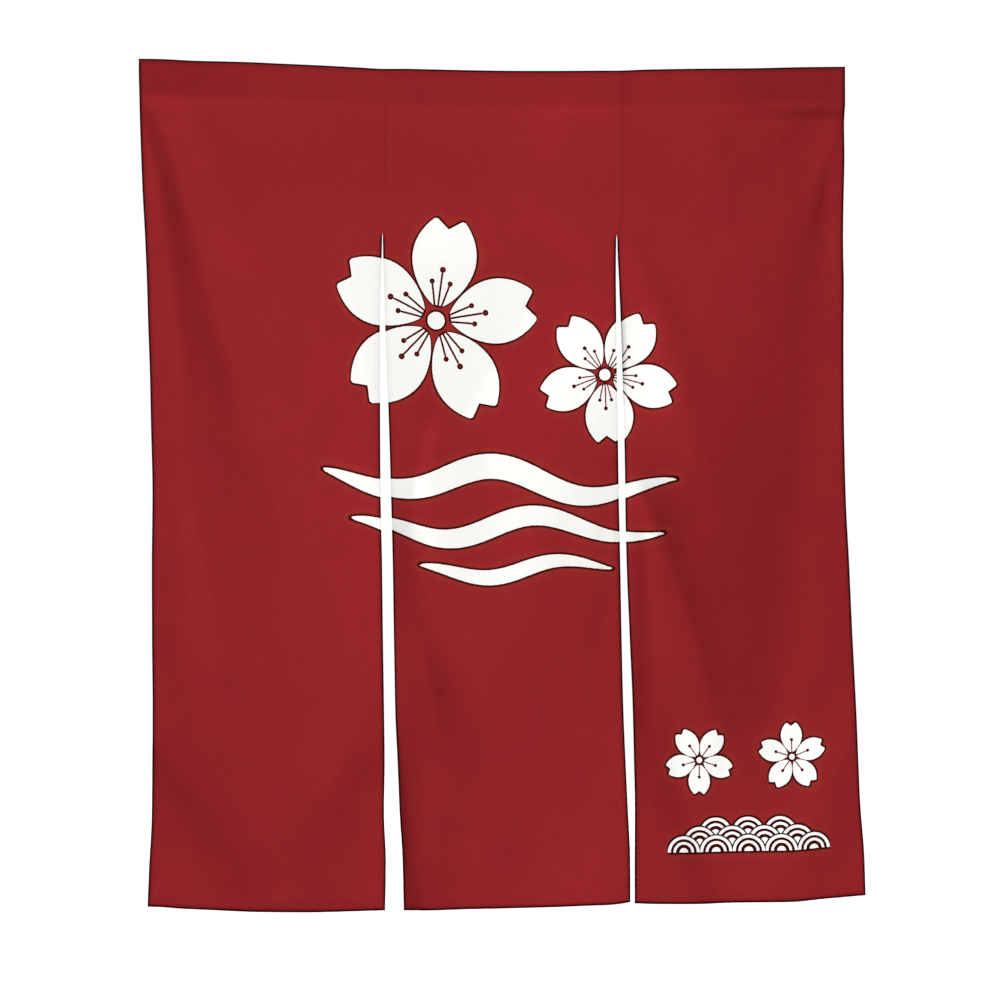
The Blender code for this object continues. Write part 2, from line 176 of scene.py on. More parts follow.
# Widths of cloth: name, its two edges, where it starts across the flat curtain, how wide it is.
WIDTHS = (
    ("left", "left_out", "left_in", -0.5010, 0.3425),
    ("middle", "middle_left", "middle_right", -0.1585, 0.3341),
    ("right", "right_in", "right_out", 0.1756, 0.3254),
)


# ---------------------------------------------------------------- curves and surface
def ease(t):
    t = np.clip(t, 0.0, 1.0)
    return t * t * (3.0 - 2.0 * t)


def smooth_table(points):
    """A smooth curve through (at, value) points that never overshoots them."""
    at, value = np.array(sorted(points), float).T
    step = np.diff(value) / np.diff(at)
    slope = np.zeros(len(at))
    slope[0], slope[-1] = step[0], step[-1]
    for i in range(1, len(at) - 1):
        if step[i - 1] * step[i] > 0.0:
            slope[i] = 2.0 * step[i - 1] * step[i] / (step[i - 1] + step[i])

    def curve(where):
        w = np.clip(np.asarray(where, float), at[0], at[-1])
        i = np.clip(np.searchsorted(at, w, side="right") - 1, 0, len(at) - 2)
        h = at[i + 1] - at[i]
        t = (w - at[i]) / h
        return (value[i] * (1 + 2 * t) * (1 - t) ** 2 + value[i + 1] * t * t * (3 - 2 * t)
                + h * slope[i] * t * (1 - t) ** 2 - h * slope[i + 1] * t * t * (1 - t))

    return curve


EDGE_TABLE = {name: smooth_table([(row[0], row[k]) for row in EDGES])
              for k, name in enumerate(EDGE_COLUMNS) if k}
TOP_EDGE = smooth_table(TOP)
BOTTOM_EDGE = {name: smooth_table(rows) for name, rows in BOTTOM.items()}
LEAN_BACK = {name: smooth_table(rows) for name, rows in LEAN.items()}
SEAMS = {"left_in": "middle_left", "middle_left": "left_in",
         "middle_right": "right_in", "right_in": "middle_right"}


def edge(name, z):
    """A side edge at this height. Above the slits the widths meet in the seams."""
    here = EDGE_TABLE[name](z)
    if name not in SEAMS:
        return here
    sewn = ease((z - (SLIT_TOP - 0.001)) / 0.006)
    clear = SEAM_CLEAR if name in ("middle_left", "right_in") else -SEAM_CLEAR
    return here * (1.0 - sewn) + (0.5 * (here + EDGE_TABLE[SEAMS[name]](z)) + clear) * sewn


def fold_rise(row, x, z):
    f = dict(zip(FOLD_COLUMNS, row))
    t = (f["z0"] - z) / (f["z0"] - f["z1"])
    along = np.clip(t, 0.0, 1.0)
    middle = f["x0"] + (f["x1"] - f["x0"]) * along + f["bow"] * 4.0 * along * (1.0 - along)
    side = x - middle
    reach = np.where(side < 0.0, f["reach_l"], f["reach_r"]) * (1.0 + (f["grow"] - 1.0) * along)
    out, r = np.abs(side) / reach, f["round_"]
    s = np.minimum(1.0, (np.sqrt(out * out + r * r) - r) / (math.sqrt(1.0 + r * r) - r))
    fade = ease(t / f["ease_in"])
    if f["ease_out"] > 0.0:
        fade = fade * ease((1.0 - t) / f["ease_out"])
    return f["rise"] * fade * (1.0 - s) ** f["flank"]


def front_y(width, x, z):
    """Where the middle of the front layer hangs, in y, at this place on a width."""
    head = ease((-z - HEAD_FLAT) / HEAD_EASE)
    free = ease((SLIT_TOP - z) / SLIT_EASE)
    near = np.minimum(ease(np.abs(x - EDGE_TABLE["left_in"](z)) / SEAM_EASE),
                      ease(np.abs(x - EDGE_TABLE["right_in"](z)) / SEAM_EASE))
    own = free + (1.0 - free) * near
    rise = 0.0
    for row in FOLDS + CREASES:
        if row[0] == "all":
            rise = rise + fold_rise(row, x, z)
        elif row[0] == width:
            rise = rise + fold_rise(row, x, z) * own
    return LEAN_BACK[width](z) - head * rise


def ripples(seed, across, down, count=26):
    """A smooth uneven relief of about unit height: many faint waves, of these lengths."""
    rng = np.random.default_rng(seed)
    kx = 2 * np.pi / rng.uniform(*across, count) * rng.choice([-1, 1], count)
    kz = 2 * np.pi / rng.uniform(*down, count)
    phase = rng.uniform(0, 2 * np.pi, count)

    def height(x, z):
        total = np.zeros(np.broadcast(x, z).shape)
        for a, b, p in zip(kx, kz, phase):
            total += np.cos(a * x + b * z + p)
        return total * math.sqrt(2.0 / count)

    return height


SLACK = ripples(3, (0.055, 0.120), (0.110, 0.300))
CRUMPLE = ripples(5, (0.018, 0.036), (0.024, 0.060))
PUCKER = ripples(8, (0.009, 0.017), (0.030, 0.080))
PUCKER_DOWN = ripples(9, (0.030, 0.080), (0.010, 0.019))


def hollow(distance, width):
    """A soft groove, one deep at its middle."""
    return np.exp(-(distance / width) ** 2)


# Painted shade: how much darker the dyed cloth is painted, this far from a folded edge.
PAINTED_EDGE_SHADE = smooth_table([(0.0, 0.45), (0.0006, 0.92), (0.0012, 0.98), (0.0016, 0.93), (0.0022, 0.72), (0.0030, 0.38),
                    (0.0042, 0.17), (0.0056, 0.07), (0.0075, 0.0), (0.0100, 0.0)])


# ---------------------------------------------------------------- grid of one width
def columns_of(wide):
    """Distances of the grid's columns from the left edge: close together at the hems."""
    near = np.array([0.0, 0.6, 1.2, 1.9, 2.8, 4.0, 5.0, 5.7, 6.3, 6.9, 7.4, 7.9, 8.3, 9.4, 11.2, 13.8]) / 1000
    inner = np.linspace(near[-1], wide - near[-1], int(round((wide - 2 * near[-1]) / 0.0036)) + 1)
    return np.concatenate([near[:-1], inner, (wide - near[:-1])[::-1]])


def rows_of():
    """Rows of the folded sheet, from the flap's end over the top and down to the hem's end:
    share of the height, drop below that, and how far behind."""
    rows = []
    at = np.arange(len(SLEEVE), dtype=float)
    drops = smooth_table([(i, row[0]) for i, row in enumerate(SLEEVE)])
    behinds = smooth_table([(i, row[1]) for i, row in enumerate(SLEEVE)])
    fine = np.linspace(0, at[-1], 3 * (len(SLEEVE) - 1) + 1)
    rows += [(0.0, float(drops(t)), float(behinds(t))) for t in fine]
    rows += [(0.0, d, 0.0) for d in (0.0085, 0.0122, 0.0160, 0.0198, 0.0236, 0.0274, 0.0312, 0.0350,
                                     0.0385, 0.0413, 0.0434, 0.0446, 0.0453, 0.0457, 0.0460, 0.0463,
                                     0.0467, 0.0474, 0.0486, 0.0505, 0.0522, 0.0530, 0.0560)]
    last = 1.0 - 0.0300 / DROP
    start = 0.0595 / DROP
    count = int(round((last - start) * DROP / 0.0040))
    rows += [(start + (last - start) * i / count, 0.0, 0.0) for i in range(count + 1)]
    rows += [(1.0, -h, 0.0) for h in (0.0265, 0.0230, 0.0200, 0.0175, 0.0158, 0.0150, 0.0142, 0.0134,
                                      0.0127, 0.0122, 0.0118, 0.0114, 0.0109, 0.0100, 0.0082, 0.0068,
                                      0.0054, 0.0040, 0.0028, 0.0019, 0.0012)]
    half = LAYER / 2
    for k in range(9):
        a = math.pi * k / 8
        rows.append((1.0, -(half - half * math.sin(a)), half - half * math.cos(a)))
    rows += [(1.0, -h, LAYER) for h in (0.0011, 0.0021, 0.0038, 0.0060, 0.0082, 0.0100, 0.0109, 0.0114,
                                        0.0118, 0.0122, 0.0128, HEM_DEPTH)]
    return np.array(rows)


def lay(width, lo, hi, start, wide):
    """The middle surface of a width, and all that its vertices know about themselves."""
    s = columns_of(wide)
    rows = rows_of()
    share, drop, behind = (rows[:, k][:, None] for k in range(3))
    u = (s / wide)[None, :]
    z = -DROP * share - drop + 0.0 * u
    for _ in range(4):
        left, right = edge(lo, z), edge(hi, z)
        x = left + (right - left) * u
        z = TOP_EDGE(x) + (BOTTOM_EDGE[width](x) - TOP_EDGE(x)) * share - drop
    y = front_y(width, x, z)
    flat_x = start + s[None, :] + 0.0 * share
    level = -DROP * share - drop + 0.0 * u          # height on the flat cloth
    front = (behind < 1e-6) & (drop > -1.0) & (share + drop > 0.002)
    top_index = int(np.argmin(drop[:40, 0]))
    is_front = np.zeros(len(rows), bool)
    is_front[top_index + 1:] = rows[top_index + 1:, 2] < 0.3 * LAYER
    is_front = is_front[:, None] & front.any(1)[:, None]

    # Fine relief, on the free front only: slack, crumple, and what the sewing pulls in.
    from_side = np.minimum(s, wide - s)[None, :]
    below = -level
    above = DROP + level
    calm = ease((below - 0.050) / 0.030) * ease((above - 0.004) / 0.020)
    sewn = ease((z - SLIT_TOP + 0.004) / 0.010)
    still = 1.0 - sewn * np.clip(sum(hollow(away[None, :], 0.020) for name, away in ((lo, s), (hi, wide - s))
                                     if name in SEAMS), 0.0, 1.0)
    relief = (0.00005 * SLACK(flat_x, level) + 0.000018 * CRUMPLE(flat_x, level)) * calm * still
    relief = relief + 0.00005 * PUCKER(flat_x, level) * np.exp(-np.abs(below - SLEEVE_DROP) / 0.006)
    relief = relief + 0.00006 * PUCKER(flat_x, level) * np.exp(-np.abs(above - HEM_STITCH) / 0.007)
    relief = relief + 0.00004 * PUCKER_DOWN(flat_x, level) * np.exp(-np.abs(from_side - SIDE_STITCH) / 0.004) * calm * still
    relief = relief - 0.00010 * hollow(below - SLEEVE_DROP, 0.0010)
    relief = relief - 0.00012 * hollow(above - HEM_STITCH, 0.0007)
    side_row = hollow(s[None, :] - SIDE_STITCH, 0.0006) * (1.0 - sewn * (lo in SEAMS))
    side_row = side_row + hollow(wide - s[None, :] - SIDE_STITCH, 0.0006) * (1.0 - sewn * (hi in SEAMS))
    relief = relief - 0.00010 * side_row * calm
    pull = sewn * ease((z - SEAM_CALM) / 0.045) * (0.15 + 0.85 * ease((-0.030 - z) / 0.025))
    if width == "right":
        pull = 0.25 * pull
    if lo in SEAMS:         # the seam is felled towards this width, and its row of stitches sinks in
        relief = relief - 0.00006 * hollow(s[None, :] - SEAM_STITCH[width], 0.0014) * pull
    y = y + behind - np.where(is_front, relief, 0.0)
    return dict(width=width, lo=lo, hi=hi, start=start, wide=wide, s=s, rows=rows, x=x, y=y, z=z,
                flat_x=flat_x, level=level, front=is_front[:, 0], from_side=from_side + 0.0 * level,
                below=below, above=above, sewn=sewn, pull=pull)


def facing(p):
    """Unit normals of a grid of points, towards the cloth's right side."""
    down = np.gradient(p, axis=0)
    across = np.gradient(p, axis=1)
    n = np.cross(down, across)
    n /= np.maximum(np.linalg.norm(n, axis=2, keepdims=True), 1e-12)
    return n


# ---------------------------------------------------------------- the dyed pattern
def stroke(line, half, low=0.0, skew=1.0):
    """Discs along a smooth line: a brushed stroke that tapers to both ends. line gives points
    for t from 0 to 1, half its widest half-width."""
    t = np.linspace(0.0, 1.0, 260)
    body = np.sin(np.pi * t ** skew) ** 0.72
    r = half * (low + (1.0 - low) * body)
    return np.column_stack([*line(t), np.maximum(r, 0.0004)])


def stream(left, right, high, waves, lean, half):
    """A long brushed wave of the stream, from its left end to its right one."""
    def line(t):
        swell = high * np.sin(2 * np.pi * waves * t + lean) * (0.55 + 0.45 * np.sin(np.pi * t))
        return left[0] + (right[0] - left[0]) * t, left[1] + (right[1] - left[1]) * t + swell
    return stroke(line, half, 0.03, 0.9)


STREAM = np.vstack([
    stream((-0.246, -0.570), (0.252, -0.592), 0.0210, 1.75, 2.6, 0.0175),
    stream((-0.205, -0.642), (0.232, -0.652), 0.0185, 1.60, 1.9, 0.0145),
    stream((-0.120, -0.704), (0.165, -0.706), 0.0130, 1.20, 2.2, 0.0110),
])


def pattern_distance(x, z):
    """Distance from the large pattern's edge, in metres on the flat cloth, negative inside it."""
    best = np.full(x.shape, 9.0)
    near = (x > -0.30) & (x < 0.30) & (z < -0.49) & (z > -0.78)
    px, pz = x[near], z[near]
    found = np.full(px.shape, 9.0)
    for cx, cz, r in STREAM:
        np.minimum(found, np.hypot(px - cx, pz - cz) - r, out=found)
    best[near] = found
    return best


# ---------------------------------------------------------------- materials
class Nodes:
    """Short names for building a shader from math nodes."""

    def __init__(self, name):
        self.material = bpy.data.materials.new(name)
        self.material.use_nodes = True
        self.tree = self.material.node_tree
        self.shader = self.tree.nodes["Principled BSDF"]

    def put(self, node, index, value):
        if isinstance(value, bpy.types.NodeSocket):
            self.tree.links.new(value, node.inputs[index])
        else:
            node.inputs[index].default_value = value

    def math(self, operation, *values, clamp=False):
        node = self.tree.nodes.new("ShaderNodeMath")
        node.operation, node.use_clamp = operation, clamp
        for i, value in enumerate(values):
            self.put(node, i, value)
        return node.outputs[0]

    def add(self, a, b): return self.math("ADD", a, b)
    def sub(self, a, b): return self.math("SUBTRACT", a, b)
    def mul(self, a, b): return self.math("MULTIPLY", a, b)
    def low(self, a, b): return self.math("MINIMUM", a, b)
    def high(self, a, b): return self.math("MAXIMUM", a, b)
    def over(self, a, b): return self.math("GREATER_THAN", a, b)
    def size(self, a): return self.math("ABSOLUTE", a)

    def length(self, a, b):
        return self.math("SQRT", self.add(self.mul(a, a), self.mul(b, b)))

    def span(self, value, a, b, c, d, kind="SMOOTHSTEP"):
        node = self.tree.nodes.new("ShaderNodeMapRange")
        node.interpolation_type = kind
        for i, v in enumerate((value, a, b, c, d)):
            self.put(node, i, v)
        return node.outputs[0]

    def choose(self, fac, a, b):
        """a where fac is 0, b where it is 1."""
        node = self.tree.nodes.new("ShaderNodeMix")
        node.data_type = "FLOAT"
        for i, v in enumerate((fac, None, a, b)):
            if v is not None:
                self.put(node, i, v)
        return node.outputs[0]

    def tint(self, fac, a, b, kind="MIX"):
        node = self.tree.nodes.new("ShaderNodeMix")
        node.data_type, node.blend_type = "RGBA", kind
        self.put(node, 0, fac)
        self.put(node, 6, a)
        self.put(node, 7, b)
        return node.outputs[2]

    def known(self, name, output="Fac"):
        node = self.tree.nodes.new("ShaderNodeAttribute")
        node.attribute_type, node.attribute_name = "GEOMETRY", name
        return node.outputs[output]

    def parts(self, vector):
        node = self.tree.nodes.new("ShaderNodeSeparateXYZ")
        self.put(node, 0, vector)
        return node.outputs[0], node.outputs[1], node.outputs[2]

    def point(self, x, y, z=0.0):
        node = self.tree.nodes.new("ShaderNodeCombineXYZ")
        for i, v in enumerate((x, y, z)):
            self.put(node, i, v)
        return node.outputs[0]

    def noise(self, vector, scale, detail=2.0, rough=0.5):
        node = self.tree.nodes.new("ShaderNodeTexNoise")
        node.noise_dimensions = "3D"
        self.put(node, "Vector", vector)
        self.put(node, "Scale", scale)
        self.put(node, "Detail", detail)
        self.put(node, "Roughness", rough)
        return node.outputs["Fac"]

    def grey(self, value):
        node = self.tree.nodes.new("ShaderNodeCombineColor")
        for i in range(3):
            self.put(node, i, value)
        return node.outputs[0]


class Arrays(Nodes):
    """The same short names, worked out on arrays of numbers instead."""
    WORK = {"ADD": np.add, "SUBTRACT": np.subtract, "MULTIPLY": np.multiply, "DIVIDE": np.divide,
            "MINIMUM": np.minimum, "MAXIMUM": np.maximum, "ABSOLUTE": np.abs, "SQRT": np.sqrt,
            "SINE": np.sin, "COSINE": np.cos, "ARCTAN2": np.arctan2, "FLOORED_MODULO": np.mod,
            "POWER": lambda a, b: np.maximum(a, 0.0) ** b,
            "GREATER_THAN": lambda a, b: np.asarray(a > b, float)}

    def __init__(self):
        pass

    def math(self, operation, *values, clamp=False):
        result = self.WORK[operation](*values)
        return np.clip(result, 0.0, 1.0) if clamp else result

    def choose(self, fac, a, b):
        return np.where(fac > 0.5, b, a)


# Cherry blossoms: middle x, height, size and turn.
BLOSSOM_COLUMNS = ("x", "z", "size", "turn")
LARGE_BLOSSOMS = ((-0.0850, -0.3540, 0.1450, 1.10), (0.1580, -0.4330, 0.0955, 0.30))
SMALL_BLOSSOMS = ((0.2700, -0.9815, 0.0485, 0.35), (0.4045, -0.9800, 0.0485, 0.95))
WAVES_AT, WAVE = (0.2215, -1.1120), 0.0231      # lower left corner of the wave band, and its unit


def blossoms(n, x, z, pair, split, side_threads):
    """Distance to two five-petalled flowers, one left of split and one right of it."""
    second = n.over(x, split)
    pick = [n.choose(second, a, b) for a, b in zip(*pair)]
    dx, dz, r = n.sub(x, pick[0]), n.sub(z, pick[1]), pick[2]
    dx, dz = n.math("DIVIDE", dx, r), n.math("DIVIDE", dz, r)
    far = n.length(dx, dz)
    fifth = 2 * math.pi / 5
    angle = n.add(n.math("ARCTAN2", dz, dx), pick[3])
    angle = n.sub(n.math("FLOORED_MODULO", n.add(angle, fifth / 2), fifth), fifth / 2)
    along = n.mul(far, n.math("COSINE", angle))
    aside = n.size(n.mul(far, n.math("SINE", angle)))
    t = n.math("DIVIDE", n.sub(along, 0.13), 0.95, clamp=True)
    bulge = n.math("POWER", n.math("SINE", n.mul(n.math("POWER", t, 1.05), math.pi)), 0.62)
    petal = n.sub(aside, n.mul(bulge, 0.315))
    petal = n.high(petal, n.sub(0.15, along))
    petal = n.high(petal, n.mul(n.sub(n.sub(along, 0.90), n.mul(aside, 0.75)), 0.8))
    petal = n.high(petal, n.sub(far, 1.0))
    fine = 0.017 if not side_threads else 0.010
    drawn = n.low(n.high(n.sub(aside, fine), n.sub(along, 0.47)),
                  n.sub(n.length(n.sub(along, 0.50), aside), 0.048 if not side_threads else 0.030))
    if side_threads:
        turned = n.sub(n.size(angle), 0.235)
        off = n.size(n.mul(far, n.math("SINE", turned)))
        drawn = n.low(drawn, n.high(n.sub(off, fine), n.sub(far, 0.36)))
        drawn = n.low(drawn, n.sub(n.length(n.sub(n.mul(far, n.math("COSINE", turned)), 0.385), off), 0.026))
    petal = n.high(petal, n.mul(drawn, -1.0))
    eye = n.sub(far, 0.085)
    return n.mul(n.low(petal, eye), r)


def wave_band(n, x, z):
    """Distance to the band of overlapping half rings, three rows high."""
    unit = WAVE
    ax = n.math("DIVIDE", n.sub(x, WAVES_AT[0]), unit)
    az = n.math("DIVIDE", n.sub(z, WAVES_AT[1]), unit)
    result = None
    for k in (2, 1, 0):
        lx = n.sub(n.math("FLOORED_MODULO", n.sub(ax, float(k)), 2.0), 1.0)
        lz = n.sub(az, 0.55 * k)
        d = n.length(lx, lz)
        outer = n.sub(n.size(n.sub(d, 0.895)), 0.090)
        inner = n.sub(n.size(n.sub(d, 0.560)), 0.080)
        rings = n.low(n.low(outer, inner), n.sub(d, 0.270))
        within = n.mul(n.over(ax, float(k)), n.over(10.0 - k, ax))
        inside = n.mul(within, n.over(0.985, d))
        beyond = n.choose(within, 3.0, n.sub(d, 0.985))
        if result is None:
            result = n.choose(inside, beyond, rings)
        else:
            result = n.choose(inside, n.low(result, n.high(beyond, 0.0)), rings)
            # the row in front hides what is behind it, with a red gap between
            result = n.choose(n.mul(within, n.mul(n.over(1.075, d), n.over(d, 0.985))), result, n.high(result, n.sub(0.09, n.size(n.sub(d, 1.03)))))
    result = n.high(result, n.mul(az, -1.0))
    return n.mul(result, unit)


def motifs(n, x, z):
    """Distance to the flowers and the wave band, negative inside them."""
    flowers = n.low(blossoms(n, x, z, LARGE_BLOSSOMS, 0.0610, True), blossoms(n, x, z, SMALL_BLOSSOMS, 0.3370, False))
    return n.low(flowers, wave_band(n, x, z))


def cotton(name):
    n = Nodes(name)
    flat = n.known("flat", "Vector")
    x, z, _ = n.parts(flat)

    # white pattern on the red ground
    wobble = n.sub(n.noise(flat, 260.0, 2.0), 0.5)
    edge_at = n.low(n.known("pattern"), motifs(n, x, z))
    edge_at = n.add(edge_at, n.mul(wobble, 0.0009))
    white = n.span(edge_at, -0.00012, 0.00012, 1.0, 0.0)
    outline = n.high(n.span(edge_at, 0.0002, 0.0008, 1.0, 0.03), n.span(edge_at, 0.0014, 0.0043, 0.03, 1.0))
    halo = n.mul(n.span(edge_at, 0.0025, 0.016, 1.0, 0.0), n.span(n.noise(flat, 90.0, 3.0, 0.6), 0.30, 0.62, 0.25, 1.0))

    # threads: a plain weave, some thicker than others
    pitch = 0.00062
    warp = n.math("SINE", n.mul(x, math.pi / pitch))
    weft = n.math("SINE", n.mul(z, math.pi / pitch))
    weave = n.add(n.mul(n.mul(warp, weft), 0.5), 0.5)
    slub_down = n.noise(n.point(n.mul(x, 900.0), n.mul(z, 26.0)), 1.0, 2.0)
    slub_over = n.noise(n.point(n.mul(x, 26.0), n.mul(z, 900.0), 5.0), 1.0, 2.0)
    slubs = n.add(n.mul(slub_down, 0.5), n.mul(slub_over, 0.5))

    # red ground: the dye lies a little unevenly
    broad = n.noise(flat, 13.0, 3.0, 0.55)
    small = n.noise(flat, 105.0, 3.0, 0.6)
    ground = n.tint(n.span(broad, 0.30, 0.70, 0.0, 1.0, "LINEAR"), (0.2400, 0.0142, 0.0174, 1.0), (0.2520, 0.0156, 0.0176, 1.0))
    ground = n.tint(n.mul(halo, 0.55), ground, (0.2780, 0.0290, 0.0190, 1.0))
    shade = n.mul(n.span(small, 0.25, 0.75, 0.965, 1.035, "LINEAR"), n.span(slubs, 0.30, 0.70, 0.960, 1.040, "LINEAR"))
    shade = n.mul(shade, n.span(weave, 0.0, 1.0, 0.930, 1.060, "LINEAR"))
    ground = n.tint(1.0, ground, n.grey(shade), "MULTIPLY")
    ground = n.tint(1.0, ground, n.grey(outline), "MULTIPLY")

    bright = n.mul(n.span(small, 0.25, 0.75, 0.990, 1.006, "LINEAR"), n.span(weave, 0.0, 1.0, 0.975, 1.010, "LINEAR"))
    bright = n.mul(bright, n.span(slubs, 0.30, 0.70, 0.985, 1.008, "LINEAR"))
    undyed = n.tint(n.span(broad, 0.30, 0.70, 0.0, 1.0, "LINEAR"), (0.783, 0.787, 0.754, 1.0), (0.798, 0.798, 0.771, 1.0))
    # painted light: the small print is painted whiter than the large one, to lift it out of the shade of the folds
    # around it
    undyed = n.tint(n.over(-0.86, z), undyed, (0.892, 0.890, 0.870, 1.0))      # the small print is whiter
    undyed = n.tint(1.0, undyed, n.grey(bright), "MULTIPLY")

    colour = n.tint(white, ground, undyed)
    # painted shade: doubled cloth is painted darker, as if less light came through it from behind, the sleeve's ends
    # too, and the folded edges are painted darker still
    painted_layer_shade = n.sub(1.0, n.mul(n.known("painted_layer_shade"), n.choose(white, 0.085, 0.025)))
    painted_edge_shade = n.sub(1.0, n.mul(n.known("painted_edge_shade"), n.choose(white, 1.0, 0.14)))
    colour = n.tint(1.0, colour, n.grey(n.mul(painted_layer_shade, painted_edge_shade)), "MULTIPLY")
    n.tree.links.new(colour, n.shader.inputs["Base Color"])

    n.tree.links.new(n.span(small, 0.2, 0.8, 0.86, 0.96, "LINEAR"), n.shader.inputs["Roughness"])
    n.shader.inputs["Metallic"].default_value = 0.0
    n.shader.inputs["Specular IOR Level"].default_value = 0.02

    bump = n.tree.nodes.new("ShaderNodeBump")
    bump.inputs["Strength"].default_value = 0.55
    bump.inputs["Distance"].default_value = 0.00011
    n.put(bump, "Height", n.add(n.mul(weave, 0.62), n.mul(slubs, 1.1)))
    n.tree.links.new(bump.outputs[0], n.shader.inputs["Normal"])
    return n.material


def thread():
    n = Nodes("sewing_thread")
    where = n.tree.nodes.new("ShaderNodeTexCoord").outputs["Object"]
    twist = n.tree.nodes.new("ShaderNodeTexWave")
    twist.wave_type, twist.bands_direction = "BANDS", "DIAGONAL"
    n.put(twist, "Vector", where)
    n.put(twist, "Scale", 620.0)
    n.put(twist, "Distortion", 1.5)
    tone = n.span(n.noise(where, 60.0), 0.3, 0.7, 0.0, 1.0)
    colour = n.tint(tone, (0.205, 0.0085, 0.0112, 1.0), (0.262, 0.0150, 0.0172, 1.0))
    colour = n.tint(n.known("pale"), colour, (0.780, 0.780, 0.745, 1.0))       # where it crosses the white pattern
    colour = n.tint(n.mul(twist.outputs["Fac"], 0.30), colour, n.tint(1.0, colour, (0.55, 0.50, 0.52, 1.0), "MULTIPLY"))
    n.tree.links.new(colour, n.shader.inputs["Base Color"])
    n.tree.links.new(n.span(twist.outputs["Fac"], 0.0, 1.0, 0.62, 0.80, "LINEAR"), n.shader.inputs["Roughness"])
    n.shader.inputs["Specular IOR Level"].default_value = 0.18
    bump = n.tree.nodes.new("ShaderNodeBump")
    bump.inputs["Strength"].default_value = 0.5
    bump.inputs["Distance"].default_value = 0.00008
    n.tree.links.new(twist.outputs["Fac"], bump.inputs["Height"])
    n.tree.links.new(bump.outputs[0], n.shader.inputs["Normal"])
    return n.material


# ---------------------------------------------------------------- meshes
def mesh_object(name, points, quads, material):
    mesh = bpy.data.meshes.new(name)
    mesh.from_pydata(points.tolist(), [], quads.tolist())
    mesh.polygons.foreach_set("use_smooth", np.ones(len(mesh.polygons), bool))
    mesh.materials.append(material)
    mesh.update()
    obj = bpy.data.objects.new(name, mesh)
    bpy.context.scene.collection.objects.link(obj)
    return obj


def hem_behind(g):
    """How much thicker the cloth is behind, where the side hems lie."""
    double = (g["from_side"] < 0.5 * (0.0079 + 0.0083)).astype(float)
    free = (g["below"] > 0.0525) & (g["above"] > 0.0146) & g["front"][:, None]
    return 0.00068 * double * free


